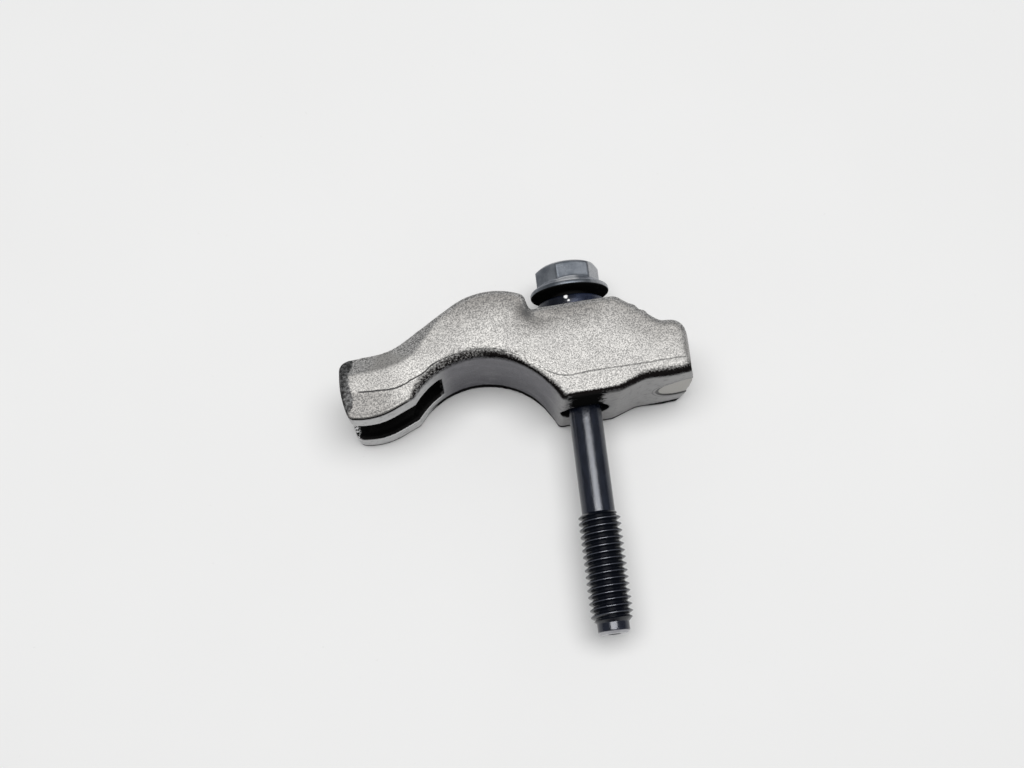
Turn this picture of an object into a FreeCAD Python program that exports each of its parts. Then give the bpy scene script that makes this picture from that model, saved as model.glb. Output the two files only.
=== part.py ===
import FreeCAD, Part
import math
import os
from FreeCAD import Vector

os.makedirs("parts", exist_ok=True)

# An injector clamp with its bolt and seat washer, in millimetres.
# The clamp lies on one side face, as on a bench, with the bolt drawn a little way out of it.
# X runs from the fork to the heel, Y along the bolt toward its head, Z up.
# Heights are counted from the underside of the boss, where the bolt's axis leaves it.
# The saved pieces have their origin on the lower side face, under the bolt's axis, halfway up the boss.

# Clamp arm, overall
clamp_width = 24.0
fork_reach = 45.4
heel_reach = 21.1
boss_height = 18.6
boss_slope_deg = 2.8
edge_round = 1.3

# Arch over the injector's shoulder
arch_centre_x = -19.3
arch_crown_height = 9.8
arch_radius = 15.6
boss_edge_round = 1.1

# Back of the arch
crest_x = -15.8
crest_height = 22.5
crest_radius = 14.7
back_slope_deg = 31.6
crest_corner_round = 2.0

# Fork, with a rounded pad under each tine
fork_height = 12.0
fork_top_slope_deg = 5.5
fork_root_round = 13.0
fork_end_bow = 0.4
fork_end_lean = 0.8
fork_corner_round = 2.2
pad_low_x = -41.2
pad_low_height = 0.4
pad_radius = 13.0
pad_slope_deg = 24.5
pad_tip_round = 1.6
slot_width = 12.0
slot_depth = 18.7
slot_corner_round = 1.2

# Bevel on the outer top edges of the fork
bevel_depth = 1.5
bevel_drop = 3.3
bevel_run = 18.0

# Washer seat on the boss, and the notch between it and the arch
notch_x = -8.5
notch_wall_deg = 71.0
notch_round = 0.7
seat_corner_round = 2.5
seat_depth = 2.4

# Heel, with a toe that stands on the cylinder head
shoulder_slope_deg = 37.2
shoulder_foot_x = 15.2
shoulder_foot_round = 2.5
heel_top_height = 13.1
heel_top_round = 2.8
heel_crown = 1.6
heel_stock = 1.0
ramp_start_x = 6.2
ramp_start_round = 3.5
ramp_slope_deg = 20.5
ramp_round = 7.0
toe_low_x = 14.6
toe_low_height = 2.2
toe_radius = 28.0
toe_end_slope_deg = 8.0
spot_diameter = 10.4
spot_depth = 0.22
spot_x = 19.5
spot_tilt_deg = 6.0

# Bolt, thread M8, with a waisted shank and a plain round point
thread_diameter = 8.0
thread_length = 19.9
shank_diameter = 6.3
run_out_length = 0.7
bolt_length = 66.0
point_diameter = 6.0
point_length = 2.1

# Bolt head: a low hexagon on a coned flange
hex_across_flats = 11.0
hex_turn_deg = 37.5
head_height = 5.7
head_face_diameter = 10.3
head_chamfer_deg = 30.0
flange_diameter = 15.4
flange_rim = 0.9
flange_cone_height = 1.5
flange_cone_top = 10.4

# Seat washer, ball-faced underneath
washer_diameter = 13.4
washer_height = 5.9
washer_ball_radius = 10.0
washer_chamfer = 0.35

# Clearances, each on one side
hole_clearance = 0.5
washer_bore_clearance = 0.1
recess_clearance = 0.7
seat_clearance = 0.06
head_gap = 1.6

# How close counts as touching when an edge is looked for
near = 0.001

# Places that follow from the sizes above
mid_z = clamp_width / 2
origin_height = boss_height / 2
tall = 2 * crest_height
boss_slope = math.tan(math.radians(boss_slope_deg))
hole_diameter = thread_diameter + 2 * hole_clearance
washer_bore = thread_diameter + 2 * washer_bore_clearance
recess_radius = washer_diameter / 2 + recess_clearance
washer_low_y = boss_height - boss_slope * recess_radius - seat_depth
washer_top_y = washer_low_y + washer_height
bearing_y = washer_top_y + head_gap
ball_centre_y = washer_low_y + math.sqrt(washer_ball_radius ** 2 - (washer_bore / 2) ** 2)


def at(x, y, z=0.0):
    return Vector(x, y, z)


def heading(angle):
    return at(math.cos(math.radians(angle)), math.sin(math.radians(angle)))


def on_circle(centre, radius, angle):
    return centre + heading(angle) * radius


def low_side(centre, radius, x):
    """The point of a circle's lower side at x."""
    return at(x, centre.y - math.sqrt(radius ** 2 - (x - centre.x) ** 2))


def meet(point_a, angle_a, point_b, angle_b):
    """Where two lines meet, each given by a point and its angle."""
    a, b = heading(angle_a), heading(angle_b)
    gap = point_b - point_a
    return point_a + a * ((gap.x * b.y - gap.y * b.x) / (a.x * b.y - a.y * b.x))


def line_to_circle(point, angle, centre, radius, far):
    """Where a line crosses a circle: the near or the far crossing along the line."""
    along = heading(angle)
    foot = point + along * (centre - point).dot(along)
    half = math.sqrt(radius ** 2 - (centre - foot).Length ** 2)
    return foot + along * (half if far else -half)


def line(a, b):
    return Part.makeLine(a, b)


def arc(a, through, b):
    return Part.Arc(a, through, b).toShape()


# Points and circles that the outline shares with the bevel and the toe's spot
tip_x = -fork_reach + fork_end_bow
crest_centre = at(crest_x, crest_height - crest_radius)
crest_left = on_circle(crest_centre, crest_radius, 90 + back_slope_deg)
fork_top = at(tip_x, fork_height)
fork_root = meet(crest_left, back_slope_deg, fork_top, fork_top_slope_deg)
toe_centre = at(toe_low_x, toe_low_height + toe_radius)

# The round at the fork's root, as long as the fork's flat top has room for it
root_half_turn_deg = (back_slope_deg - fork_top_slope_deg) / 2
root_room = (fork_root - fork_top).Length - fork_corner_round - edge_round
root_tan = math.tan(math.radians(root_half_turn_deg))
root_round = min(fork_root_round, root_room / root_tan)


def side_outline():
    """The clamp's side view: its edges in order, and the corners to round with their radii."""
    arch_centre = at(arch_centre_x, arch_crown_height - arch_radius)
    pad_centre = at(pad_low_x, pad_low_height + pad_radius)
    stock_x = heel_reach + heel_stock

    # underside, from the fork's tip to the heel
    tip_low = low_side(pad_centre, pad_radius, tip_x + fork_end_lean)
    pad_end = on_circle(pad_centre, pad_radius, pad_slope_deg - 90)
    pad_middle = low_side(pad_centre, pad_radius, (tip_low.x + pad_end.x) / 2)
    kink = line_to_circle(pad_end, pad_slope_deg, arch_centre, arch_radius, False)
    arch_crown = at(arch_centre_x, arch_crown_height)
    boss_left = line_to_circle(at(0, 0), boss_slope_deg, arch_centre, arch_radius, True)
    boss_right = at(ramp_start_x, ramp_start_x * boss_slope)
    toe_low = at(toe_low_x, toe_low_height)
    ramp_top = meet(boss_right, ramp_slope_deg, toe_low, 0)
    toe_middle = on_circle(toe_centre, toe_radius, toe_end_slope_deg / 2 - 90)
    toe_end = on_circle(toe_centre, toe_radius, toe_end_slope_deg - 90)
    heel_low = meet(toe_end, toe_end_slope_deg, at(stock_x, 0), 90)

    # top, from the heel back to the fork
    heel_top = at(stock_x, heel_top_height)
    shoulder_foot = at(shoulder_foot_x, heel_top_height)
    seat_middle = at(0, boss_height)
    seat_right = meet(seat_middle, boss_slope_deg, shoulder_foot, 180 - shoulder_slope_deg)
    notch = at(notch_x, boss_height + notch_x * boss_slope)
    crest_right = line_to_circle(notch, 180 - notch_wall_deg, crest_centre, crest_radius, True)
    fork_middle = at(-fork_reach, (fork_height + tip_low.y) / 2)

    edges = [
        arc(tip_low, pad_middle, pad_end),
        line(pad_end, kink),
        arc(kink, arch_crown, boss_left),
        line(boss_left, boss_right),
        line(boss_right, ramp_top),
        line(ramp_top, toe_low),
        arc(toe_low, toe_middle, toe_end),
        line(toe_end, heel_low),
        line(heel_low, heel_top),
        line(heel_top, shoulder_foot),
        line(shoulder_foot, seat_right),
        line(seat_right, notch),
        line(notch, crest_right),
        arc(crest_right, at(crest_x, crest_height), crest_left),
        line(crest_left, fork_root),
        line(fork_root, fork_top),
        arc(fork_top, fork_middle, tip_low),
    ]
    corners = [
        (tip_low, pad_tip_round),
        (boss_left, boss_edge_round),
        (boss_right, ramp_start_round),
        (ramp_top, ramp_round),
        (shoulder_foot, shoulder_foot_round),
        (seat_right, seat_corner_round),
        (notch, notch_round),
        (crest_right, crest_corner_round),
        (fork_root, root_round),
        (fork_top, fork_corner_round),
    ]
    return edges, corners


def upright_edge(solid, point):
    """The edge that stands on the side faces at a corner of the outline."""
    for edge in solid.Edges:
        first, last = edge.Vertexes[0].Point, edge.Vertexes[-1].Point
        upright = abs(first.z - last.z) > clamp_width / 2
        if upright and (at(first.x, first.y) - point).Length < near:
            return edge
    raise ValueError("no upright edge at the corner")


def heel_top_edge(solid):
    """The edge across the heel's bowed end, at its top."""
    found = []
    for edge in solid.Edges:
        box = edge.BoundBox
        bowed = box.XLength > heel_crown / 2
        if bowed and box.XMin > heel_reach - 2 * heel_crown and box.ZLength > clamp_width / 2:
            found.append(edge)
    return max(found, key=lambda edge: edge.CenterOfMass.y)


def side_face_edges(solid):
    """The outline's edges on the two side faces."""
    found = []
    for edge in solid.Edges:
        box = edge.BoundBox
        on_side = min(abs(box.ZMin), abs(box.ZMin - clamp_width)) < near
        if on_side and box.ZLength < near:
            found.append(edge)
    return found


def plan_tool():
    """The clamp's plan view: bowed across the width at the heel, and longer than the fork."""
    left, right = -2 * fork_reach, heel_reach - heel_crown
    plan = Part.Wire([
        line(at(left, 0), at(right, 0)),
        arc(at(right, 0), at(heel_reach, 0, mid_z), at(right, 0, clamp_width)),
        line(at(right, 0, clamp_width), at(left, 0, clamp_width)),
        line(at(left, 0, clamp_width), at(left, 0)),
    ])
    tool = Part.Face(plan).extrude(at(0, 2 * tall))
    tool.translate(at(0, -tall))
    return tool


def arm_blank():
    """The forged blank: the side view drawn through the width, bowed at the heel, edges rounded."""
    edges, corners = side_outline()
    solid = Part.Face(Part.Wire(edges)).extrude(at(0, 0, clamp_width))
    for point, radius in corners:
        solid = solid.makeFillet(radius, [upright_edge(solid, point)])
    solid = solid.common(plan_tool())
    solid = solid.makeFillet(heel_top_round, [heel_top_edge(solid)])
    return solid.makeFillet(edge_round, side_face_edges(solid))


def along_bolt(radius, low_y, high_y):
    """A round bar on the bolt's axis between two heights."""
    return Part.makeCylinder(radius, high_y - low_y, at(0, low_y, mid_z), at(0, 1))


def turned(points):
    """A solid turned about the bolt's axis from (radius, height) points."""
    corners = [at(radius, height, mid_z) for radius, height in points]
    face = Part.Face(Part.makePolygon(corners + corners[:1]))
    return face.revolve(at(0, 0, mid_z), at(0, 1), 360)


def fork_slot():
    """The slot that takes the injector's flats, open at the fork's tip."""
    inner_x = slot_depth - fork_reach
    corner = at(inner_x - fork_reach, -tall, mid_z - slot_width / 2)
    slot = Part.makeBox(fork_reach, 2 * tall, slot_width, corner)
    inner = []
    for edge in slot.Edges:
        box = edge.BoundBox
        if box.YLength > tall and box.XMin > inner_x - near:
            inner.append(edge)
    return slot.makeFillet(slot_corner_round, inner)


def bevel_section(inset, z):
    """The fork's top and the foot of the arch's back, moved into the metal by an inset."""
    flat, rise = heading(fork_top_slope_deg), heading(back_slope_deg)
    upward = heading(fork_top_slope_deg + 90)
    centre = fork_root - flat * (root_round * root_tan) + upward * root_round
    radius = root_round + inset
    start = on_circle(centre, radius, fork_top_slope_deg - 90)
    middle = on_circle(centre, radius, fork_top_slope_deg + root_half_turn_deg - 90)
    end = on_circle(centre, radius, back_slope_deg - 90)
    left = start - flat * (start.x - tip_x + fork_corner_round)
    right = fork_root + rise * bevel_run + heading(back_slope_deg + 90) * bevel_depth
    above = at(0, crest_height)
    section = Part.Wire([
        line(left, start),
        arc(start, middle, end),
        line(end, right),
        line(right, right + above),
        line(right + above, left + above),
        line(left + above, left),
    ])
    section.translate(at(0, 0, z))
    return section


def fork_bevel(upper):
    """The long bevel on one outer top edge of the fork, fading out up the arch's back."""
    sections = []
    for inset in (-bevel_depth, bevel_drop + bevel_depth):
        depth = bevel_depth * (1 - inset / bevel_drop)
        sections.append(bevel_section(inset, clamp_width - depth if upper else depth))
    return Part.makeLoft(sections, True, True)


def washer_seat():
    """The hollow that the washer's ball face sits in."""
    ball = Part.makeSphere(washer_ball_radius + seat_clearance, at(0, ball_centre_y, mid_z))
    return ball.common(along_bolt(recess_radius, 0, ball_centre_y))


def toe_spot():
    """The round flat pressed into the toe, cut off by the heel's end."""
    radius = spot_diameter / 2
    inward = heading(90 + spot_tilt_deg)
    floor = low_side(toe_centre, toe_radius, spot_x) + at(0, spot_depth, mid_z)
    return Part.makeCylinder(radius, radius, floor - inward * radius, inward)


def build_arm():
    arm = arm_blank()
    arm = arm.cut(fork_slot())
    arm = arm.cut(along_bolt(hole_diameter / 2, -tall, tall))
    arm = arm.cut(washer_seat())
    arm = arm.cut(toe_spot())
    for upper in (True, False):
        arm = arm.cut(fork_bevel(upper))
    return arm


def ring_edge(solid, radius, y):
    """The round edge of a turned solid at one radius and height."""
    for edge in solid.Edges:
        box = edge.BoundBox
        level = box.YLength < near and abs(box.YMin - y) < near
        if level and abs(box.XMax - radius) < near:
            return edge
    raise ValueError("no round edge at the height")


def build_washer():
    radius = washer_diameter / 2
    washer = along_bolt(radius, washer_low_y, washer_top_y)
    washer = washer.makeChamfer(washer_chamfer, [ring_edge(washer, radius, washer_top_y)])
    washer = washer.common(Part.makeSphere(washer_ball_radius, at(0, ball_centre_y, mid_z)))
    return washer.cut(along_bolt(washer_bore / 2, 0, tall))


def hex_head():
    """The hexagon, its corners turned away at the top."""
    low_y, top_y = bearing_y + flange_rim, bearing_y + head_height
    corners = []
    for i in range(7):
        spoke = heading(hex_turn_deg + 60 * i) * (hex_across_flats / math.sqrt(3))
        corners.append(at(spoke.y, low_y, mid_z + spoke.x))
    prism = Part.Face(Part.makePolygon(corners)).extrude(at(0, top_y - low_y))
    wide, face = hex_across_flats, head_face_diameter / 2
    drop = (wide - face) * math.tan(math.radians(head_chamfer_deg))
    blank = turned([
        (0, bearing_y),
        (wide, bearing_y),
        (wide, top_y - drop),
        (face, top_y),
        (0, top_y),
    ])
    return prism.common(blank)


def build_bolt():
    tip_y = bearing_y - bolt_length
    thread_low = tip_y + point_length
    thread_high = thread_low + thread_length
    shank, major, point = shank_diameter / 2, thread_diameter / 2, point_diameter / 2
    rim_y = bearing_y + flange_rim
    stem = turned([
        (0, tip_y),
        (point, tip_y),
        (point, thread_low),
        (major, thread_low + major - point),
        (major, thread_high),
        (shank, thread_high + run_out_length),
        (shank, bearing_y),
        (flange_diameter / 2, bearing_y),
        (flange_diameter / 2, rim_y),
        (flange_cone_top / 2, rim_y + flange_cone_height),
        (0, rim_y + flange_cone_height),
    ])
    return stem.fuse(hex_head())


def save(name, shape):
    """Writes one piece as its own file, moved to the origin that the pieces share."""
    solid, = shape.Solids
    solid.translate(at(0, -origin_height))
    solid.exportStep("parts/" + name + ".step")


save("clamp_arm", build_arm())
save("seat_washer", build_washer())
save("clamp_bolt", build_bolt())
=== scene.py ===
import math
from types import SimpleNamespace

import bmesh
import bpy
import numpy as np
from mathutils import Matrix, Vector


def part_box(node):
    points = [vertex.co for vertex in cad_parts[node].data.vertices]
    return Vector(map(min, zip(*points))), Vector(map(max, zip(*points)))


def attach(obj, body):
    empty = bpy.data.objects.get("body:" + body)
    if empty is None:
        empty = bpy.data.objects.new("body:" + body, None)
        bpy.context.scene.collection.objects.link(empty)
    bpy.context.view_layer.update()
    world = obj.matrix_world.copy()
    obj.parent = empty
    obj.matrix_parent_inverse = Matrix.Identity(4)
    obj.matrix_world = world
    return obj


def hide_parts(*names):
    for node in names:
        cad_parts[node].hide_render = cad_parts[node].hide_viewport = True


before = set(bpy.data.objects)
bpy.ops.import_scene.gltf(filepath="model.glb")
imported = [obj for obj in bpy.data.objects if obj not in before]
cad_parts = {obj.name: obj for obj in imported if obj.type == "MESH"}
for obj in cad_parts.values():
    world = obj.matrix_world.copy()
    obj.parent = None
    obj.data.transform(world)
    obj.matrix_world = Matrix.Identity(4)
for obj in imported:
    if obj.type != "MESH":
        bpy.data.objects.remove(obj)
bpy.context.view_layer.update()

# Everything below is worked out in millimetres and written in metres.
MM = 0.001
WIDTH = 24.0
MID_Z = WIDTH / 2

# The arm's rounded side edges, and how finely its surface is worked
EDGE_ROUND = 1.3
ARM_VOXEL = 0.28

# The arm's slot and bolt hole, each a little wider than the surface it takes in, and the notch
SLOT_LOW, SLOT_HIGH, SLOT_ROOT = 5.9, 18.1, -26.0
HOLE_REACH = 4.75
NOTCH_X, NOTCH_Y = -9.0, 8.6

# A distance that stands for "nowhere near"
FAR = 9.0

# The bolt: coarse M8 thread, waisted shank, hexagon on a coned flange
PITCH = 1.25
MAJOR = 4.0
THREAD_DEPTH = 0.77
SHANK = 3.15
POINT = 3.0
POINT_LENGTH = 2.1
POINT_CHAMFER = 0.55
THREAD_LENGTH = 19.9
RUN_OUT = 0.7
BOLT_LENGTH = 66.0
HEAD_HEIGHT = 5.7
FLANGE = 7.7
FLANGE_RIM = 0.9
CONE_HEIGHT = 1.5
CONE_TOP = 5.2
HEX_HALF = 5.5
HEX_TURN = math.radians(37.5)
HEX_CRISPNESS = 90
HEAD_FACE = 5.15
HEAD_CHAMFER = math.radians(30)
TURNS = 180

# The washer under the flange, and the two painted highlights on its side: place and size
WASHER_RADIUS = 6.7
WASHER_BORE = 4.1
BALL_RADIUS = 10.0
LIGHT_SPOTS = [
    ((-1.33, 11.93, MID_Z + 6.57), 0.40),
    ((-0.86, 11.13, MID_Z + 6.64), 0.22),
]

# The heel's pressed round flat
SPOT_X = 19.5
SPOT_RADIUS = 5.2

# Where the dies met: a fine step along both side faces, as (x, y) points
SEAM = np.array([
    (-47.0, -3.75), (-41.6, -3.8), (-38.6, -3.85), (-34.2, -3.55), (-31.8, -2.4), (-29.6, -1.4),
    (-28.3, -0.35), (-24.7, 1.1), (-19.3, 1.95), (-14.0, 1.0), (-9.2, -2.2), (-7.0, -3.6),
    (-4.0, -4.9), (-1.0, -4.85), (2.0, -4.6), (9.0, -4.35), (15.7, -4.0), (24.0, -3.7),
])

# The dark edge under the arm: x, and where it starts and stops across the rounded edge, from
# EDGE_ROUND on the side face to -EDGE_ROUND on the underside
EDGE = np.array([
    (-47.0, -0.4, -1.1), (-44.6, -0.4, -1.1), (-43.0, 0.0, -0.9), (-33.2, 0.0, -0.9),
    (-31.6, 1.2, -0.8), (-27.0, 1.4, -1.2), (-20.0, 1.4, -1.3), (-14.0, 0.9, -1.4),
    (-10.0, 0.2, -1.6), (-7.0, 0.2, -1.6), (-5.2, 0.7, -0.6), (-3.6, 1.0, 0.25),
    (3.0, 1.0, 0.25), (6.0, 1.1, 0.15), (9.0, 1.2, -0.2), (14.0, 1.4, -0.8),
    (19.0, 1.3, -0.6), (24.0, 1.2, -0.4),
])

# Hollows beside the notch and lumps on the shoulder: x, y, radius and height
LUMPS = [
    (-9.4, 8.6, 1.5, -0.34), (-9.9, 10.0, 1.2, -0.22), (-7.8, 6.8, 1.2, -0.20),
    (-5.2, 6.6, 0.9, -0.12), (10.8, 7.3, 0.8, 0.30), (12.6, 6.0, 0.7, 0.32),
]

# What the arm's shape and material both need to know at each point
ARM_FIELDS = ("lip", "brow", "seam", "inner", "spot", "ground", "side", "along", "band", "end",
              "stain")


# ---------------------------------------------------------------- helpers

def new_piece(name, mesh, body, node):
    ob = bpy.data.objects.new(name, mesh)
    bpy.context.scene.collection.objects.link(ob)
    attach(ob, body)
    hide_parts(node)
    return ob


def lattice_noise(points, cell, seed):
    """Smooth value noise from -1 to 1 on a lattice of the given cell size."""
    size = 48
    table = np.random.default_rng(seed).uniform(-1, 1, (size, size, size))
    p = points / cell + 500.0
    base = np.floor(p).astype(int)
    f = p - base
    f = f * f * (3 - 2 * f)
    total = np.zeros(len(points))
    for dx in (0, 1):
        wx = f[:, 0] if dx else 1 - f[:, 0]
        for dy in (0, 1):
            wy = f[:, 1] if dy else 1 - f[:, 1]
            for dz in (0, 1):
                wz = f[:, 2] if dz else 1 - f[:, 2]
                i = (base[:, 0] + dx) % size
                j = (base[:, 1] + dy) % size
                k = (base[:, 2] + dz) % size
                total += wx * wy * wz * table[i, j, k]
    return total


def smooth(low, high, x):
    t = np.clip((x - low) / (high - low), 0, 1)
    return t * t * (3 - 2 * t)


def segment_distance(points, starts, ends):
    """Distance in the XY plane from each point to the nearest of the segments."""
    best = np.full(len(points), 1e9)
    for a, b in zip(starts, ends):
        d = b - a
        t = np.clip(((points - a) @ d) / max(d @ d, 1e-12), 0, 1)
        gap = points - (a + t[:, None] * d)
        best = np.minimum(best, np.hypot(gap[:, 0], gap[:, 1]))
    return best


def mesh_vectors(mesh, key):
    """One vector a vertex, of the mesh's places or normals."""
    values = np.zeros(len(mesh.vertices) * 3)
    mesh.vertices.foreach_get(key, values)
    return values.reshape(-1, 3)


# ---------------------------------------------------------------- the arm

def outline_segments(facing):
    """The outline's straight bits where the lower side face's round begins, for the faces that pass."""
    bm = bmesh.new()
    bm.from_mesh(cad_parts["clamp_arm"].data)
    bmesh.ops.remove_doubles(bm, verts=bm.verts, dist=1e-7)
    starts, ends = [], []
    for edge in bm.edges:
        a, b = (np.array(v.co) / MM for v in edge.verts)
        if abs(a[2] - EDGE_ROUND) > 0.03 or abs(b[2] - EDGE_ROUND) > 0.03:
            continue
        for face in edge.link_faces:
            if abs(face.normal.z) < 0.1 and facing(face.normal):
                starts.append(a[:2])
                ends.append(b[:2])
                break
    bm.free()
    return np.array(starts), np.array(ends)


def seam_height(x):
    """The seam's height at x, as a smooth curve through its points."""
    px, py = SEAM[:, 0], SEAM[:, 1]
    slope = np.gradient(py, px)
    i = np.clip(np.searchsorted(px, x) - 1, 0, len(px) - 2)
    h = px[i + 1] - px[i]
    t = np.clip((x - px[i]) / h, 0, 1)
    a, b = 2 * t**3 - 3 * t**2 + 1, t**3 - 2 * t**2 + t
    c, d = -2 * t**3 + 3 * t**2, t**3 - t**2
    return a * py[i] + b * h * slope[i] + c * py[i + 1] + d * h * slope[i + 1]


def fine_arm():
    """The CAD arm as a fine, even mesh in millimetres."""
    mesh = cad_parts["clamp_arm"].data.copy()
    bm = bmesh.new()
    bm.from_mesh(mesh)
    bmesh.ops.remove_doubles(bm, verts=bm.verts, dist=1e-7)
    bmesh.ops.scale(bm, vec=(1 / MM,) * 3, verts=bm.verts)
    bm.to_mesh(mesh)
    bm.free()
    work = bpy.data.objects.new("work", mesh)
    bpy.context.scene.collection.objects.link(work)
    mod = work.modifiers.new("remesh", "REMESH")
    mod.mode = "VOXEL"
    mod.voxel_size = ARM_VOXEL
    bpy.context.view_layer.update()
    depsgraph = bpy.context.evaluated_depsgraph_get()
    fine = bpy.data.meshes.new_from_object(work.evaluated_get(depsgraph))
    bpy.data.objects.remove(work)
    fine.materials.clear()
    return fine


def edge_fields(p, n, f):
    """How far each point is from the outline's underside (lip), back (brow) and ends (end), and
    its place across the dark edge (band)."""
    x = p[:, 0]
    end_slope = 0.22
    low, high, ends = (segment_distance(p[:, :2], *outline_segments(facing)) for facing in (
        lambda normal: normal.y < -end_slope,
        lambda normal: normal.y > end_slope,
        lambda normal: abs(normal.y) <= end_slope,
    ))
    shallow = np.minimum(f.depth, 1.5)
    f.lip = low - np.where(low < 0.5, f.depth, shallow)
    f.brow = high - shallow
    f.end = ends - shallow
    upper = np.interp(x, EDGE[:, 0], EDGE[:, 1])
    lower = np.interp(x, EDGE[:, 0], EDGE[:, 2])
    f.band = (f.lip - lower) / (upper - lower)


def place_fields(p, n, f):
    """Where the slot and the hole, the seam, the pressed flat and the black patch above the hole are.
    """
    x, y, z = p.T
    upright = np.abs(n[:, 2])
    hole = np.hypot(x, z - MID_Z)
    end_wall = n[:, 0] < -0.5
    in_slot = (x < SLOT_ROOT) & (z > SLOT_LOW) & (z < SLOT_HIGH) & ((upright > 0.5) | end_wall)
    inner = np.clip(in_slot + (hole < HOLE_REACH), 0, 1)
    f.inner = np.where(in_slot & end_wall, 0.72, inner)
    f.seam = (y - seam_height(x)) * (upright > 0.3) + FAR * (upright <= 0.3)
    spot = np.hypot(x - SPOT_X, z - MID_Z) - SPOT_RADIUS
    f.spot = np.where((n[:, 1] < -0.6) & (x > 12), spot, FAR)
    stain = np.hypot(x / 1.05, np.maximum(np.abs(z - MID_Z) - 11.0, 0)) - 3.0
    f.stain = np.where((n[:, 1] < -0.05) & (hole < 13) & (y < -7.5), stain, FAR)


def arm_fields(p, n):
    """What each point of the arm lies on or near, one value a point."""
    x, y, z = p.T
    upright = np.abs(n[:, 2])
    f = SimpleNamespace(depth=np.minimum(z, WIDTH - z))
    f.side = smooth(0.9, 0.985, upright) * (f.depth < 1.0)
    f.outside = (f.depth < EDGE_ROUND + 0.05) | (upright < 0.6)
    edge_fields(p, n, f)
    place_fields(p, n, f)
    f.ground = smooth(0.6, 0.25, f.band) * (y < 3) * f.outside
    f.along = smooth(-33.5, -31.5, x)
    return f


def surface_relief(p, f):
    """Forged unevenness, coarse to fine, and the step and groove of the seam."""
    bump = 0.035 * lattice_noise(p, 5.0, 11) + 0.022 * lattice_noise(p, 1.7, 12)
    bump += 0.014 * lattice_noise(p, 0.62, 13)
    bump *= 1 - 0.85 * f.ground
    below = smooth(0.12, -0.12, f.seam) * f.side
    groove = np.exp(-(f.seam / 0.16) ** 2) * f.side
    bump -= 0.11 * below + 0.06 * groove
    return bump


def edge_relief(p, n, f):
    """The lower edge, trimmed sharper than a plain round, torn over the arch and under the heel,
    with chips out of the side face above the arch."""
    x = p[:, 0]
    flat = np.hypot(n[:, 0], n[:, 1])
    corner = np.clip(1 / np.maximum(np.maximum(flat, np.abs(n[:, 2])), 0.6) - 1, 0, 0.42)
    trim = smooth(1.4, 1.2, f.lip) * f.outside
    bump = 0.75 * EDGE_ROUND * corner * (f.depth < EDGE_ROUND) * trim
    rough = smooth(1.5, 0.8, f.band) * smooth(-0.3, 0.2, f.band) * f.outside
    tear = lattice_noise(p, 0.8, 21) + 0.5 * lattice_noise(p, 0.45, 22)
    bump += rough * f.along * (0.06 * tear - 0.06)
    chips = smooth(3.4, 1.6, f.lip) * smooth(1.1, 1.5, f.lip) * f.side
    chips *= smooth(-27, -22, x) * smooth(-7, -10, x)
    bump -= chips * 0.14 * smooth(0.15, 0.5, lattice_noise(p * (1.0, 0.55, 1.0), 0.6, 23))
    return bump


def form_relief(p, f):
    """The lumps and hollows, and the die's draft that the side faces fall away by."""
    x, y = p[:, 0], p[:, 1]
    bump = np.zeros(len(p))
    for lump_x, lump_y, radius, height in LUMPS:
        away = ((x - lump_x) ** 2 + (y - lump_y) ** 2) / radius**2
        bump += height * np.exp(-away) * (f.depth < 2.5) * f.outside
    return bump - 0.10 * smooth(2.0, 12.0, y) * f.side


def arm_mesh():
    mesh = fine_arm()
    p, n = mesh_vectors(mesh, "co"), mesh_vectors(mesh, "normal")
    f = arm_fields(p, n)
    bump = surface_relief(p, f) + edge_relief(p, n, f) + form_relief(p, f)
    bump *= 1 - 0.9 * f.inner
    p = p + n * bump[:, None]
    mesh.vertices.foreach_set("co", (p * MM).ravel())
    for name in ARM_FIELDS:
        layer = mesh.attributes.new(name, "FLOAT", "POINT")
        layer.data.foreach_set("value", getattr(f, name).astype(np.float32))
    mesh.polygons.foreach_set("use_smooth", np.ones(len(mesh.polygons), bool))
    mesh.update()
    return mesh


# ---------------------------------------------------------------- turned pieces

ANGLES = np.arange(TURNS) * 2 * math.pi / TURNS

# One pitch of the thread, as (share of the pitch, share of the depth)
THREAD_PROFILE = [
    (0.000, 0.00), (0.055, 0.015), (0.085, 0.07), (0.20, 0.37), (0.33, 0.72), (0.42, 0.95),
    (0.50, 1.00), (0.58, 0.95), (0.67, 0.72), (0.80, 0.37), (0.915, 0.07), (0.945, 0.015),
]


def lathe(rings):
    """Points about the bolt's axis, ring by ring, from (radius, height), each a number or one
    value a step."""
    points = []
    for radius, height in rings:
        r = np.broadcast_to(np.asarray(radius, float), ANGLES.shape)
        h = np.broadcast_to(np.asarray(height, float), ANGLES.shape)
        points.append(np.stack([r * np.sin(ANGLES), h, MID_Z + r * np.cos(ANGLES)], 1))
    return points


def quads(count, lead_from=None, lead_to=None, lead=0):
    """The faces between the rings. From lead_from to lead_to, ring i joins ring i + lead across
    the turn's start, as a screw thread does."""
    faces = []
    for i in range(count - 1):
        for k in range(TURNS - 1):
            a = i * TURNS + k
            faces.append((a, a + 1, a + TURNS + 1, a + TURNS))
        step = lead if lead_from is not None and lead_from <= i < lead_to else 0
        a, b = i * TURNS + TURNS - 1, (i + step) * TURNS
        if lead_from is None or not (lead_to <= i < lead_to + lead):
            faces.append((a, b, b + TURNS, a + TURNS))
    return faces


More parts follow.
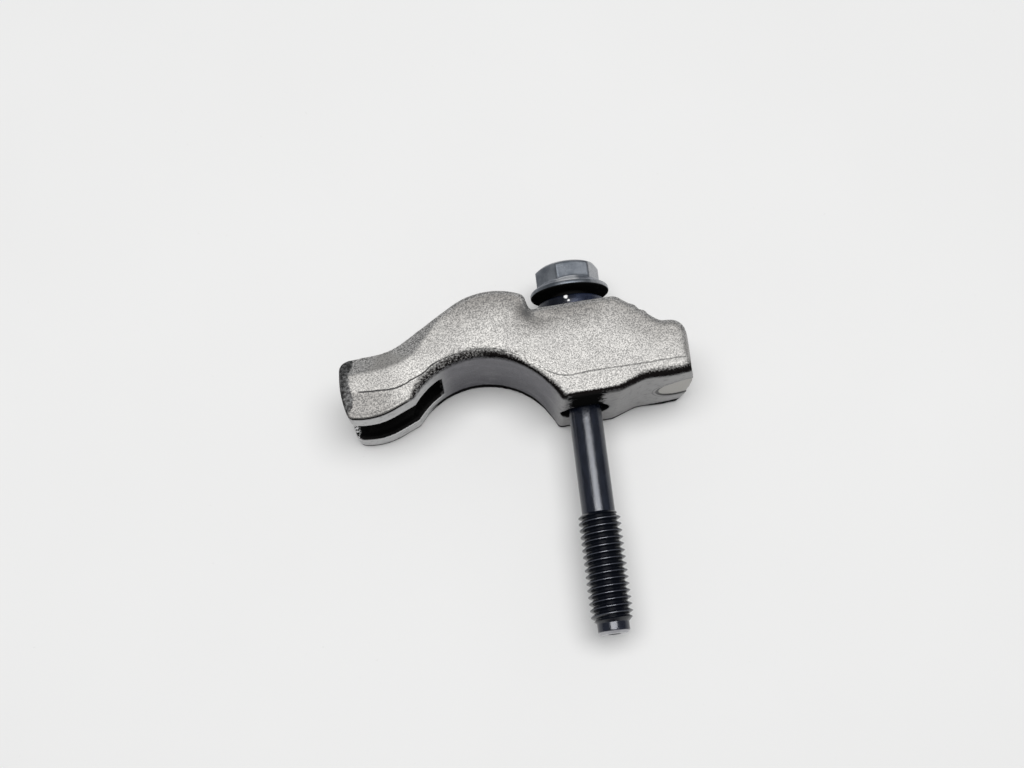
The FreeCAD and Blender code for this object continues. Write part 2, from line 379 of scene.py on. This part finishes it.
def turned_mesh(name, points, faces):
    """Points and quads made into one clean mesh in metres."""
    co = np.concatenate(points) * MM
    mesh = bpy.data.meshes.new(name)
    mesh.from_pydata([tuple(c) for c in co], [], faces)
    bm = bmesh.new()
    bm.from_mesh(mesh)
    bmesh.ops.remove_doubles(bm, verts=bm.verts, dist=2e-7)
    bmesh.ops.dissolve_degenerate(bm, dist=1e-7, edges=bm.edges)
    bmesh.ops.recalc_face_normals(bm, faces=bm.faces)
    bm.to_mesh(mesh)
    bm.free()
    mesh.polygons.foreach_set("use_smooth", np.ones(len(mesh.polygons), bool))
    mesh.set_sharp_from_angle(angle=math.radians(38))
    mesh.update()
    return mesh


def rounded(r0, y0, r1, y1, r2, y2, radius, steps=4):
    """Rings round the corner at (r1, y1), between the lines from (r0, y0) and to (r2, y2)."""
    a = np.array([r0 - r1, y0 - y1], float)
    b = np.array([r2 - r1, y2 - y1], float)
    a, b = a / np.hypot(*a), b / np.hypot(*b)
    out = []
    for i in range(steps + 1):
        t = i / steps
        w = (1 - t) ** 2 * a + t ** 2 * b
        out.append((r1 + radius * w[0], y1 + radius * w[1]))
    return out


def bolt_low():
    """The height of the bolt's point."""
    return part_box("clamp_bolt")[0].y / MM


def point_rings(low):
    """The plain point with its centre mark and chamfer."""
    chamfer_start, chamfer_end = (POINT - POINT_CHAMFER, low), (POINT, low + POINT_CHAMFER)
    rings = [(0.0, low + 0.5), (0.8, low + 0.42), (0.98, low + 0.06), (1.1, low), (1.9, low)]
    rings += rounded(1.9, low, *chamfer_start, *chamfer_end, 0.12)
    rings += rounded(*chamfer_start, *chamfer_end, POINT, low + POINT_LENGTH, 0.15)
    return rings + [(POINT, low + 1.1), (POINT, low + POINT_LENGTH - 0.02)]


def thread_rings(thread_low, run_end):
    """The screw thread, running out at both ends."""
    rings = []
    turns_of_thread = int(math.ceil((run_end - thread_low) / PITCH)) + 1
    for turn in range(-1, turns_of_thread + 1):
        for share, deep in THREAD_PROFILE:
            height = thread_low + 0.35 + PITCH * (turn + share) + PITCH * ANGLES / (2 * math.pi)
            height = np.clip(height, thread_low, run_end)
            radius = np.full(TURNS, MAJOR - THREAD_DEPTH * deep)
            start = POINT + (height - thread_low) * 1.0
            end = SHANK + (run_end - height) * (MAJOR - SHANK) / RUN_OUT
            rings.append((np.minimum(radius, np.minimum(start, end)), height))
    return rings


def hexagon_radius():
    """The radius at each step round a hexagon with slightly rounded corners."""
    total = np.zeros(TURNS)
    for i in range(6):
        face = HEX_TURN + math.radians(30 + 60 * i)
        total += np.maximum(np.cos(ANGLES - face), 0.0) ** HEX_CRISPNESS
    return HEX_HALF * total ** (-1 / HEX_CRISPNESS)


def head_rings(bearing):
    """The flange with its cone, and the hexagon with its chamfered top."""
    rim_top = bearing + FLANGE_RIM
    top = bearing + HEAD_HEIGHT
    hexagon = hexagon_radius()

    def cone(radius):
        return rim_top + (FLANGE - radius) / (FLANGE - CONE_TOP) * CONE_HEIGHT

    foot = cone(hexagon)
    rings = [(4.2, bearing + 0.01), (5.6, bearing + 0.02)]
    rings += rounded(5.6, bearing, FLANGE, bearing, FLANGE, rim_top, 0.3)
    rings += rounded(FLANGE, bearing, FLANGE, rim_top, CONE_TOP, rim_top + CONE_HEIGHT, 0.35)
    rings += [(7.2, cone(7.2)), (hexagon + 0.12, cone(hexagon + 0.12))]
    rings += [(hexagon + 0.03, foot + 0.03), (hexagon, foot + 0.12)]
    shoulder = top - (hexagon - HEAD_FACE) * math.tan(HEAD_CHAMFER)
    for t in (0.15, 0.5, 0.85):
        rings.append((hexagon, foot + 0.12 + (shoulder - foot - 0.12) * t))
    rings += [(hexagon, shoulder - 0.07), (hexagon - 0.06, shoulder + 0.03)]
    rings += [((hexagon + HEAD_FACE) / 2, (shoulder + top) / 2)]
    rings += [(HEAD_FACE + 0.05, top - 0.03), (HEAD_FACE - 0.07, top)]
    return rings + [(4.6, top), (4.3, top - 0.05), (2.0, top - 0.06), (0.0, top - 0.06)]


def bolt_mesh():
    low = bolt_low()
    bearing = low + BOLT_LENGTH
    thread_low = low + POINT_LENGTH
    run_end = thread_low + THREAD_LENGTH + RUN_OUT
    rings = point_rings(low)
    before = len(rings)
    rings += thread_rings(thread_low, run_end)
    after = len(rings)
    rings += [(SHANK, run_end + 0.02), (SHANK, run_end + 4), (SHANK, bearing - 6)]
    rings += rounded(SHANK, bearing - 2, SHANK, bearing, 5.0, bearing, 0.6, 6)
    rings += head_rings(bearing)
    lead = len(THREAD_PROFILE)
    return turned_mesh("bolt", lathe(rings), quads(len(rings), before, after - lead, lead))


def washer_mesh():
    low, high = (corner.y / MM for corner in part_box("seat_washer"))
    centre = low + math.sqrt(BALL_RADIUS**2 - WASHER_BORE**2)
    rings = [(WASHER_BORE, low + 0.25)]
    for radius in np.linspace(WASHER_BORE + 0.2, WASHER_RADIUS - 0.12, 9):
        rings.append((radius, centre - math.sqrt(BALL_RADIUS**2 - radius**2)))
    edge = centre - math.sqrt(BALL_RADIUS**2 - WASHER_RADIUS**2)
    rings += [(WASHER_RADIUS - 0.03, edge + 0.02), (WASHER_RADIUS, edge + 0.12)]
    rings += [(WASHER_RADIUS, edge + 1.5), (WASHER_RADIUS, edge + 2.9)]
    rings += [(WASHER_RADIUS, high - 0.42), (WASHER_RADIUS - 0.05, high - 0.3)]
    rings += [(WASHER_RADIUS - 0.28, high - 0.06), (WASHER_RADIUS - 0.4, high)]
    rings += [(5.6, high), (WASHER_BORE + 0.35, high), (WASHER_BORE + 0.1, high - 0.07)]
    rings += [(WASHER_BORE, high - 0.3), (WASHER_BORE, (low + high) / 2), rings[0]]
    return turned_mesh("washer", lathe(rings), quads(len(rings)))


# ---------------------------------------------------------------- materials

class Shader:
    """A node material, built by small steps."""

    def __init__(self, name):
        self.material = bpy.data.materials.new(name)
        self.material.use_nodes = True
        self.tree = self.material.node_tree
        self.tree.nodes.clear()

    def feed(self, socket, value):
        if isinstance(value, bpy.types.NodeSocket):
            self.tree.links.new(value, socket)
        else:
            socket.default_value = value

    def node(self, kind, inputs=(), **settings):
        made = self.tree.nodes.new(kind)
        for key, value in settings.items():
            setattr(made, key, value)
        for key, value in dict(inputs).items():
            self.feed(made.inputs[key], value)
        return made

    def math(self, operation, a, b=0.0, c=0.0):
        made = self.node("ShaderNodeMath", {0: a, 1: b, 2: c}, operation=operation)
        return made.outputs[0]

    def times(self, first, *others):
        for other in others:
            first = self.math("MULTIPLY", first, other)
        return first

    def plus(self, a, b):
        return self.math("ADD", a, b)

    def minus(self, a, b):
        return self.math("SUBTRACT", a, b)

    def most(self, a, b):
        return self.math("MAXIMUM", a, b)

    def line(self, value, factor, offset):
        """The value times the factor, plus the offset."""
        return self.math("MULTIPLY_ADD", value, factor, offset)

    def away(self, value, centre):
        """How far the value is from the centre, to either side."""
        return self.math("ABSOLUTE", self.minus(value, centre))

    def loose(self, value, noise, width):
        """The value, moved by the noise up to half the width either way."""
        return self.plus(value, self.line(noise, width, -width / 2))

    def ramp(self, value, low, high, start=0.0, end=1.0):
        made = self.node("ShaderNodeMapRange", {
            "Value": value, "From Min": low, "From Max": high, "To Min": start, "To Max": end,
        }, interpolation_type="SMOOTHSTEP")
        return made.outputs[0]

    def noise(self, vector, scale, detail=2.0, roughness=0.5):
        made = self.node("ShaderNodeTexNoise", {
            "Vector": vector, "Scale": scale, "Detail": detail, "Roughness": roughness,
        })
        return made.outputs["Fac"]

    def mix(self, share, a, b):
        made = self.node("ShaderNodeMix", data_type="RGBA")
        for index, value in ((0, share), (6, a), (7, b)):
            self.feed(made.inputs[index], value)
        return made.outputs[2]

    def millimetres(self):
        where = self.node("ShaderNodeTexCoord").outputs["Object"]
        made = self.node("ShaderNodeVectorMath", {0: where, "Scale": 1 / MM}, operation="SCALE")
        return made.outputs[0]

    def split(self, vector):
        outputs = self.node("ShaderNodeSeparateXYZ", {0: vector}).outputs
        return outputs[0], outputs[1], outputs[2]

    def join(self, x, y, z):
        return self.node("ShaderNodeCombineXYZ", {0: x, 1: y, 2: z}).outputs[0]

    def attribute(self, name):
        return self.node("ShaderNodeAttribute", attribute_name=name).outputs["Fac"]

    def bump(self, height, distance, strength=1.0, normal=None):
        inputs = {"Height": height, "Distance": distance * MM, "Strength": strength}
        if normal is not None:
            inputs["Normal"] = normal
        return self.node("ShaderNodeBump", inputs).outputs[0]

    def finish(self, **inputs):
        named = {key.replace("_", " "): value for key, value in inputs.items()}
        surface = self.node("ShaderNodeBsdfPrincipled", named)
        self.node("ShaderNodeOutputMaterial", {"Surface": surface.outputs[0]})
        return self.material


def grey(value, red=0.0, blue=0.0):
    return (value + red, value, value + blue, 1.0)


def arm_inputs(s):
    """What the arm's layers share: places, fields and noises."""
    a = SimpleNamespace(p=s.millimetres())
    a.x, a.y, a.z = s.split(a.p)
    for name in ARM_FIELDS:
        setattr(a, name, s.attribute(name))
    a.grain = s.noise(a.p, 4.2, 2.0, 0.65)
    a.coarse = s.noise(a.p, 0.9, 3.0, 0.6)
    a.patch = s.noise(a.p, 0.16, 2.0, 0.5)
    a.ragged = s.noise(a.p, 1.5, 4.0, 0.7)
    a.fray = s.noise(a.p, 2.6, 3.0, 0.6)
    return a


def blasted_metal(s, a):
    """Pale below, darker toward the top edges, on the fork's bevel and on the tines."""
    top_edge_darkening = s.ramp(s.loose(a.brow, a.coarse, 3.0), 7.5, 0.8)
    middle = s.times(s.ramp(a.x, -26.0, -18.0, 0.48, 1.0), s.ramp(a.x, 1.0, 7.0, 1.0, 0.66))
    bevel = s.minus(1.0, s.most(a.side, s.ramp(a.brow, 4.0, 6.0)))
    darkened = s.most(s.times(top_edge_darkening, middle), s.times(bevel, 0.12))
    tine = s.times(s.ramp(a.x, -32.0, -38.0), s.ramp(a.seam, 0.1, -0.1, 0.30, 0.72))
    darkened = s.most(darkened, tine)
    pale = s.mix(s.ramp(a.patch, 0.35, 0.65), grey(0.475, 0.012, -0.018), grey(0.530, 0.012, -0.022))
    colour = s.mix(darkened, pale, grey(0.245, 0.012, -0.014))
    colour = s.mix(s.times(bevel, 0.75), colour, grey(0.72, 0.01, -0.015))
    mottle = s.ramp(s.noise(a.p, 3.6, 2.0, 0.7), 0.52, 0.43, 0.0, 0.74)
    colour = s.mix(s.times(bevel, mottle), colour, grey(0.085))
    pits = s.times(s.ramp(a.grain, 0.585, 0.375), s.ramp(darkened, 0.0, 1.0, 0.56, 0.72))
    colour = s.mix(pits, colour, grey(0.095))
    crumbs = s.ramp(s.noise(a.p, 1.9, 1.0, 0.5), 0.36, 0.27, 0.0, 0.30)
    return s.mix(crumbs, colour, grey(0.08))


def face_marks(s, a, colour):
    """Painted shade in the notch, and short dark nicks over the arch."""
    # painted shade beside the notch's wall, blotchy
    notch_shade = s.times(s.ramp(s.away(a.x, NOTCH_X), 2.0, 0.4), s.ramp(s.away(a.y, NOTCH_Y), 2.6, 0.6))
    notch_shade = s.times(notch_shade, s.ramp(a.coarse, 0.65, 0.35, 0.35, 0.9))
    colour = s.mix(notch_shade, colour, grey(0.10))
    slanted = s.times(s.line(a.x, 0.45, a.y), 2.1)
    nick = s.noise(s.join(s.times(a.x, 1.2), slanted, a.z), 1.0, 2.0, 0.6)
    over_arch = s.times(s.ramp(a.x, -29.0, -24.0), s.ramp(a.x, -6.0, -9.5))
    nicks = s.times(s.ramp(a.lip, 2.5, 1.3), s.ramp(nick, 0.585, 0.635), over_arch)
    return s.mix(s.times(nicks, 0.85), colour, grey(0.02))


def scale_tone(s, a):
    """Smooth scale: pale on the pads, violet in the arch, grey and paler toward the heel."""
    depth_of_tone = s.ramp(s.line(a.coarse, 6.0, a.z), 9.0, 21.0)
    violet = s.mix(depth_of_tone, grey(0.058, 0.002, 0.016), grey(0.100, 0.002, 0.018))
    tone = s.mix(s.ramp(a.x, -30.5, -24.0), grey(0.55), violet)
    heel = s.mix(s.ramp(a.x, 6.0, 18.0), grey(0.26, 0.004), grey(0.34, 0.004))
    tone = s.mix(s.ramp(a.x, -7.0, -4.0), tone, heel)
    cloud = s.noise(s.join(s.times(a.x, 0.25), s.times(a.z, 0.30), 0.0), 1.0, 4.0, 0.6)
    tone = s.mix(s.ramp(cloud, 0.45, 0.70, 0.0, 0.16), tone, grey(0.40, 0.0, 0.006))
    tone = s.mix(s.ramp(a.coarse, 0.50, 0.28, 0.0, 0.40), tone, grey(0.06, 0.0, 0.008))
    turned = s.times(s.ramp(a.lip, -1.35, -0.6), s.ramp(a.x, -9.0, -5.0), 0.75)
    return s.mix(turned, tone, grey(0.035))


def underside(s, a):
    """The scale with its dark foot line and a black patch above the hole; and where those two are."""
    slim = s.times(s.ramp(a.x, -9.0, -6.0), s.ramp(a.x, 17.0, 13.0, 0.3, 1.2))
    rise = s.plus(a.z, s.plus(a.coarse, slim))
    foot = s.times(s.ramp(rise, 3.9, 3.1), s.ramp(a.x, -31.0, -28.0))
    tone = s.mix(s.times(foot, 0.97), scale_tone(s, a), grey(0.006))
    spread = s.line(a.ragged, 2.0, s.line(a.coarse, 4.0, -3.0))
    black_patch = s.ramp(s.plus(a.stain, spread), 0.7, -0.3)
    black_patch = s.times(black_patch, s.ramp(a.z, MID_Z - 3.0, MID_Z + 1.0))
    return s.mix(black_patch, tone, grey(0.006)), s.most(foot, black_patch)


def far_edge_highlight(s, a, colour):
    """Painted highlight along the far tine's inner edge."""
    wear_and_sheen = s.times(s.ramp(s.away(a.z, 5.65), 0.45, 0.25), s.ramp(a.x, -26.0, -28.0))
    wear_and_sheen = s.times(wear_and_sheen, s.times(a.ground, s.ramp(a.x, -40.0, -36.0)))
    return s.mix(wear_and_sheen, colour, grey(0.78))


def torn_edge(s, a):
    """Where the torn dark edge between side face and underside is."""
    edge = s.plus(a.band, s.times(s.line(a.fray, 1.1, -0.55), a.along))
    torn = s.times(s.ramp(edge, 1.35, 0.70), s.ramp(edge, -0.55, 0.30))
    scrape = s.ramp(s.noise(a.p, 2.3, 3.0, 0.65), 0.60, 0.46, 0.60, 1.0)
    scrape = s.most(scrape, s.ramp(a.x, -22.0, -17.0))
    torn = s.times(torn, s.most(scrape, s.ramp(a.x, -32.0, -34.0)))
    torn = s.times(torn, s.ramp(s.plus(a.fray, a.x), 21.0, 20.0))
    return s.times(torn, s.ramp(a.y, 3.5, 2.9))


def seam_line(s, a, colour):
    """The seam's dark line, painted shade along the seam's step and groove, broken over the arch."""
    # painted shade along the seam's step and groove
    mark = s.ramp(s.away(s.loose(a.seam, a.coarse, 0.35), 0.0), 0.22, 0.08)
    mark = s.times(mark, a.side, s.ramp(a.lip, 0.9, 1.3), s.ramp(a.x, -30.0, 5.0, 0.97, 0.6))
    whole = s.most(s.ramp(a.x, -25.5, -28.0), s.ramp(a.x, -14.0, -12.0))
    mark = s.times(mark, s.most(whole, s.ramp(a.fray, 0.47, 0.53)), s.ramp(a.x, -42.6, -41.4))
    return s.mix(mark, colour, grey(0.03))


def end_marks(s, a, colour):
    """Both ends are dark and blotchy, with a painted highlight line inside the heel's."""
    reach = s.loose(a.end, a.coarse, 1.3)
    fork_reach = s.times(s.ramp(a.x, -30.0, -34.0), s.ramp(a.y, 4.0, -4.0, 0.1, 0.7))
    reach = s.minus(reach, fork_reach)
    reach = s.minus(reach, s.times(s.ramp(a.x, 12.0, 16.0), 0.35))
    tip = s.times(s.ramp(reach, 1.55, 1.15), s.ramp(a.x, 0.0, 10.0, 0.97, 0.75))
    tip = s.times(tip, s.ramp(a.band, 0.6, 1.1), s.ramp(a.y, 11.0, 9.0))
    fork_end = s.mix(s.ramp(a.ragged, 0.42, 0.66), grey(0.022), grey(0.17))
    heel_end = s.mix(s.ramp(a.ragged, 0.38, 0.60), grey(0.09), grey(0.24))
    colour = s.mix(tip, colour, s.mix(s.ramp(a.x, 0.0, 10.0), fork_end, heel_end))
    # painted highlight: a bright line inside the heel's end
    gleam = s.times(s.ramp(s.away(reach, 1.9), 0.40, 0.15), s.ramp(a.x, 10.0, 14.0))
    gleam = s.times(gleam, s.times(a.side, s.ramp(a.lip, 1.4, 2.0)), 0.8)
    return s.mix(gleam, colour, grey(0.85))


def pressed_and_bored(s, a, colour):
    """The pressed flat on the toe, ringed by dark lines; the slot and hole walls painted near black as
    shade, with painted glints at the slot's mouth."""
    ring = s.ramp(s.away(a.spot, 0.0), 0.44, 0.20)
    halo = s.ramp(s.away(a.spot, 0.9), 0.25, 0.05, 0.0, 0.5)
    flat = s.times(s.ramp(a.spot, 0.05, -0.1), 0.9)
    colour = s.mix(flat, colour, (0.46, 0.445, 0.415, 1.0))
    colour = s.mix(s.most(ring, halo), colour, grey(0.02))
    # painted shade: the slot and hole walls go near black
    colour = s.mix(s.times(a.inner, 0.98), colour, grey(0.004))
    # painted glints: bright specks at the slot's mouth
    mouth = s.times(s.ramp(a.x, -43.4, -44.2), a.inner, s.ramp(a.fray, 0.51, 0.56))
    return s.mix(mouth, colour, grey(0.9))


def arm_material():
    s = Shader("forged_steel")
    a = arm_inputs(s)
    scale, blackened = underside(s, a)
    colour = s.mix(a.ground, face_marks(s, a, blasted_metal(s, a)), scale)
    colour = far_edge_highlight(s, a, colour)
    torn = torn_edge(s, a)
    colour = s.mix(torn, colour, grey(0.006, 0.001))
    colour = seam_line(s, a, colour)
    colour = end_marks(s, a, colour)
    colour = pressed_and_bored(s, a, colour)

    # black places neither shine nor gleam at a low angle
    rough = s.line(a.ground, -0.14, s.ramp(a.grain, 0.3, 0.7, 0.62, 0.50))
    black = s.most(s.most(torn, a.inner), s.times(blackened, a.ground))
    shine = s.times(s.minus(1.0, black), s.ramp(a.ground, 0.0, 1.0, 0.7, 0.25))
    gloss = s.times(s.minus(1.0, black), s.ramp(a.ground, 0.0, 1.0, 0.5, 0.3))
    normal = s.bump(a.grain, 0.04, s.minus(1.0, s.times(a.ground, 0.8)))
    normal = s.bump(a.ragged, 0.3, s.times(torn, 0.9), normal)
    return s.finish(Base_Color=colour, Metallic=shine, Roughness=rough,
                    Specular_IOR_Level=gloss, Normal=normal)


def washer_material():
    s = Shader("washer_steel")
    p = s.millimetres()
    fine = s.noise(p, 3.0, 3.0, 0.6)
    wide = s.noise(p, 0.5, 2.0, 0.5)
    colour = s.mix(s.ramp(wide, 0.3, 0.7), (0.010, 0.014, 0.030, 1.0), (0.022, 0.030, 0.060, 1.0))
    colour = s.mix(s.ramp(fine, 0.62, 0.75), colour, (0.10, 0.12, 0.17, 1.0))
    across = s.split(p)[0]
    # painted shadow of the flange: the washer is darker toward -x
    colour = s.mix(s.ramp(across, 0.6, -1.2, 0.0, 0.8), colour, (0.003, 0.004, 0.008, 1.0))
    rough = s.ramp(wide, 0.3, 0.7, 0.22, 0.36)
    metal = 0.35
    # painted highlights: two small white spots that do not shine as metal
    for place, size in LIGHT_SPOTS:
        gap = s.node("ShaderNodeVectorMath", {0: p, 1: place}, operation="DISTANCE").outputs["Value"]
        light = s.ramp(s.line(fine, 0.3, gap), size + 0.25, size)
        colour = s.mix(light, colour, grey(1.0))
        metal = s.times(s.minus(1.0, light), metal)
    return s.finish(Base_Color=colour, Metallic=metal, Roughness=rough, Normal=s.bump(fine, 0.03))


def bolt_inputs(s):
    """What the bolt's layers share: places, heights and noises."""
    b = SimpleNamespace(p=s.millimetres(), low=bolt_low())
    b.bearing = b.low + BOLT_LENGTH
    b.x, b.y, b.z = s.split(b.p)
    flat = s.join(b.x, 0.0, s.minus(b.z, MID_Z))
    b.radius = s.node("ShaderNodeVectorMath", {0: flat}, operation="LENGTH").outputs["Value"]
    stretched = s.node("ShaderNodeMapping", {"Vector": b.p, "Scale": (4.0, 0.5, 4.0)}).outputs[0]
    b.fine = s.noise(b.p, 3.2, 3.0, 0.6)
    b.drawn = s.noise(stretched, 0.8, 3.0, 0.6)
    b.wide = s.noise(b.p, 0.45, 2.0, 0.5)
    return b


def shank_colour(s, b):
    """Blue-black oxide with paler specks, darker in the thread, its crests showing a little wear."""
    colour = s.mix(s.ramp(b.drawn, 0.3, 0.7), (0.006, 0.008, 0.015, 1.0), (0.013, 0.017, 0.031, 1.0))
    colour = s.mix(s.ramp(b.fine, 0.66, 0.78, 0.0, 0.5), colour, (0.10, 0.11, 0.13, 1.0))
    thread_top = b.low + POINT_LENGTH + THREAD_LENGTH
    threaded = s.times(s.ramp(b.y, thread_top + 0.8, thread_top + 0.3),
                       s.ramp(b.y, b.low + 2.0, b.low + 2.3))
    colour = s.mix(s.times(threaded, 0.8), colour, (0.003, 0.004, 0.007, 1.0))
    crest = s.times(threaded, s.ramp(b.radius, MAJOR - 0.07, MAJOR - 0.01))
    return s.mix(crest, colour, (0.045, 0.050, 0.065, 1.0))


def head_colour(s, b):
    """Grey with wear; painted sheen lightens the cone, the facet at the right and the chamfered top,
    and a painted highlight sits on the cone.
    """
    wear_and_sheen = s.mix(s.ramp(b.wide, 0.3, 0.7), (0.095, 0.108, 0.127, 1.0), (0.175, 0.190, 0.212, 1.0))
    wear_and_sheen = s.mix(s.ramp(b.fine, 0.64, 0.78), wear_and_sheen, (0.30, 0.32, 0.34, 1.0))
    wear_and_sheen = s.mix(s.ramp(b.fine, 0.36, 0.24), wear_and_sheen, (0.02, 0.025, 0.035, 1.0))
    rim = b.bearing + FLANGE_RIM
    slope = s.line(b.radius, 0.6, s.minus(b.y, rim))
    cone = s.times(s.ramp(slope, 4.80, 4.70), s.ramp(b.y, rim - 0.2, rim + 0.1))
    # painted sheen: the cone is lighter, speckled
    speckled = s.times(cone, s.ramp(b.fine, 0.35, 0.6, 0.35, 1.0))
    wear_and_sheen = s.mix(speckled, wear_and_sheen, (0.27, 0.29, 0.33, 1.0))
    # painted highlight: a bright patch on the cone
    patch = s.times(s.ramp(s.away(b.x, -0.6), 2.6, 1.2), s.ramp(b.z, MID_Z + 3.0, MID_Z + 5.0))
    wear_and_sheen = s.mix(s.times(patch, cone), wear_and_sheen, (0.85, 0.86, 0.88, 1.0))
    # painted sheen: the facet at the right is lighter
    right = s.times(s.ramp(b.x, 3.6, 4.1), s.minus(1.0, cone), s.ramp(b.fine, 0.3, 0.55, 0.3, 0.9))
    wear_and_sheen = s.mix(right, wear_and_sheen, (0.42, 0.43, 0.45, 1.0))
    top = b.bearing + HEAD_HEIGHT
    # painted sheen: the chamfered top is lighter
    chamfer = s.times(s.ramp(b.y, top - 0.5, top - 0.3), 0.6)
    return s.mix(chamfer, wear_and_sheen, (0.50, 0.51, 0.53, 1.0))


def bolt_material():
    s = Shader("bolt_steel")
    b = bolt_inputs(s)
    edge = (b.bearing + 0.08, b.bearing + 0.22)
    head = s.ramp(b.y, *edge)
    # painted shade: under the flange, its underside and the neck go near black and lose their shine
    darkened = s.times(s.minus(1.0, head), s.ramp(b.y, b.bearing - 3.0, b.bearing - 1.0))
    colour = s.mix(head, shank_colour(s, b), head_colour(s, b))
    colour = s.mix(darkened, colour, grey(0.010))

    # the point's end face is bare steel round its dark centre mark
    bare = s.times(s.ramp(b.y, b.low + 0.60, b.low + 0.45), s.ramp(b.radius, 1.15, 1.35))
    colour = s.mix(bare, colour, (0.40, 0.40, 0.42, 1.0))
    centre = s.times(s.ramp(b.y, b.low + 0.60, b.low + 0.55), s.ramp(b.radius, 1.35, 1.15))
    darkened = s.most(darkened, centre)

    rough = s.line(head, 0.20, s.ramp(b.drawn, 0.3, 0.7, 0.15, 0.26))
    metal = s.times(s.ramp(b.y, *edge, 0.25, 0.75), s.minus(1.0, darkened))
    gloss = s.ramp(darkened, 0.0, 1.0, 0.72, 0.0)
    normal = s.bump(b.drawn, 0.015, 0.6, s.bump(b.fine, 0.02))
    return s.finish(Base_Color=colour, Metallic=metal, Roughness=rough,
                    Specular_IOR_Level=gloss, Normal=normal)


def floor_material():
    s = Shader("table")
    p = s.millimetres()
    cloudy = s.noise(p, 0.02, 3.0, 0.5)
    speck = s.noise(p, 0.9, 2.0, 0.5)
    colour = s.mix(cloudy, (0.825, 0.822, 0.815, 1.0), (0.855, 0.853, 0.846, 1.0))
    colour = s.mix(s.ramp(speck, 0.74, 0.80, 0.0, 0.2), colour, (0.6, 0.59, 0.57, 1.0))
    return s.finish(Base_Color=colour, Roughness=0.75, Specular_IOR_Level=0.2)


# ---------------------------------------------------------------- the pieces

arm = new_piece("arm", arm_mesh(), "clamp", "clamp_arm")
arm.data.materials.append(arm_material())

washer = new_piece("washer", washer_mesh(), "washer", "seat_washer")
washer.data.materials.append(washer_material())

bolt = new_piece("bolt", bolt_mesh(), "bolt", "clamp_bolt")
bolt.data.materials.append(bolt_material())


# ---------------------------------------------------------------- table, light and camera

def add_floor():
    mesh = bpy.data.meshes.new("table")
    half = 3.0
    corners = [(-half, -half, 0), (half, -half, 0), (half, half, 0), (-half, half, 0)]
    mesh.from_pydata(corners, [], [(0, 1, 2, 3)])
    mesh.materials.append(floor_material())
    ob = bpy.data.objects.new("table", mesh)
    bpy.context.scene.collection.objects.link(ob)


def add_world():
    world = bpy.data.worlds.new("studio")
    bpy.context.scene.world = world
    world.use_nodes = True
    tree = world.node_tree
    tree.nodes.clear()
    where = tree.nodes.new("ShaderNodeTexCoord")
    split = tree.nodes.new("ShaderNodeSeparateXYZ")
    rise = tree.nodes.new("ShaderNodeMapRange")
    tint = tree.nodes.new("ShaderNodeMix")
    tint.data_type = "RGBA"
    soft = tree.nodes.new("ShaderNodeBackground")
    tree.links.new(where.outputs["Generated"], split.inputs[0])
    tree.links.new(split.outputs[2], rise.inputs["Value"])
    rise.inputs["From Min"].default_value = 0.0
    rise.inputs["From Max"].default_value = 0.9
    tree.links.new(rise.outputs[0], tint.inputs[0])
    tint.inputs[6].default_value = (0.17, 0.17, 0.175, 1.0)
    tint.inputs[7].default_value = (0.27, 0.275, 0.28, 1.0)
    tree.links.new(tint.outputs[2], soft.inputs["Color"])
    out = tree.nodes.new("ShaderNodeOutputWorld")
    tree.links.new(soft.outputs[0], out.inputs[0])


def add_lamp(name, place, target, wide, deep, energy):
    lamp = bpy.data.lights.new(name, "AREA")
    lamp.shape = "ELLIPSE"
    lamp.size, lamp.size_y = wide, deep
    lamp.energy = energy
    ob = bpy.data.objects.new(name, lamp)
    ob.location = place
    tilt = Vector(place) - Vector(target)
    ob.rotation_euler = (-math.atan2(tilt.y, tilt.z), math.atan2(tilt.x, tilt.z), 0.0)
    bpy.context.scene.collection.objects.link(ob)


def add_camera():
    data = bpy.data.cameras.new("camera")
    data.sensor_width = 36.0
    data.lens = 48.69
    data.clip_start, data.clip_end = 0.01, 20.0
    ob = bpy.data.objects.new("camera", data)
    place = Vector((-21.05, -68.96, 271.08)) * MM
    target = Vector((-12.96, 0.69, 0.0)) * MM
    ob.location = place
    ob.rotation_euler = (target - place).to_track_quat("-Z", "Y").to_euler()
    bpy.context.scene.collection.objects.link(ob)
    bpy.context.scene.camera = ob


add_floor()
add_world()
add_lamp("overhead", (-0.012, 0.025, 0.9), (-0.01, -0.01, 0.0), 0.80, 0.38, 6.95)
add_camera()
bpy.context.scene.view_settings.view_transform = "Standard"
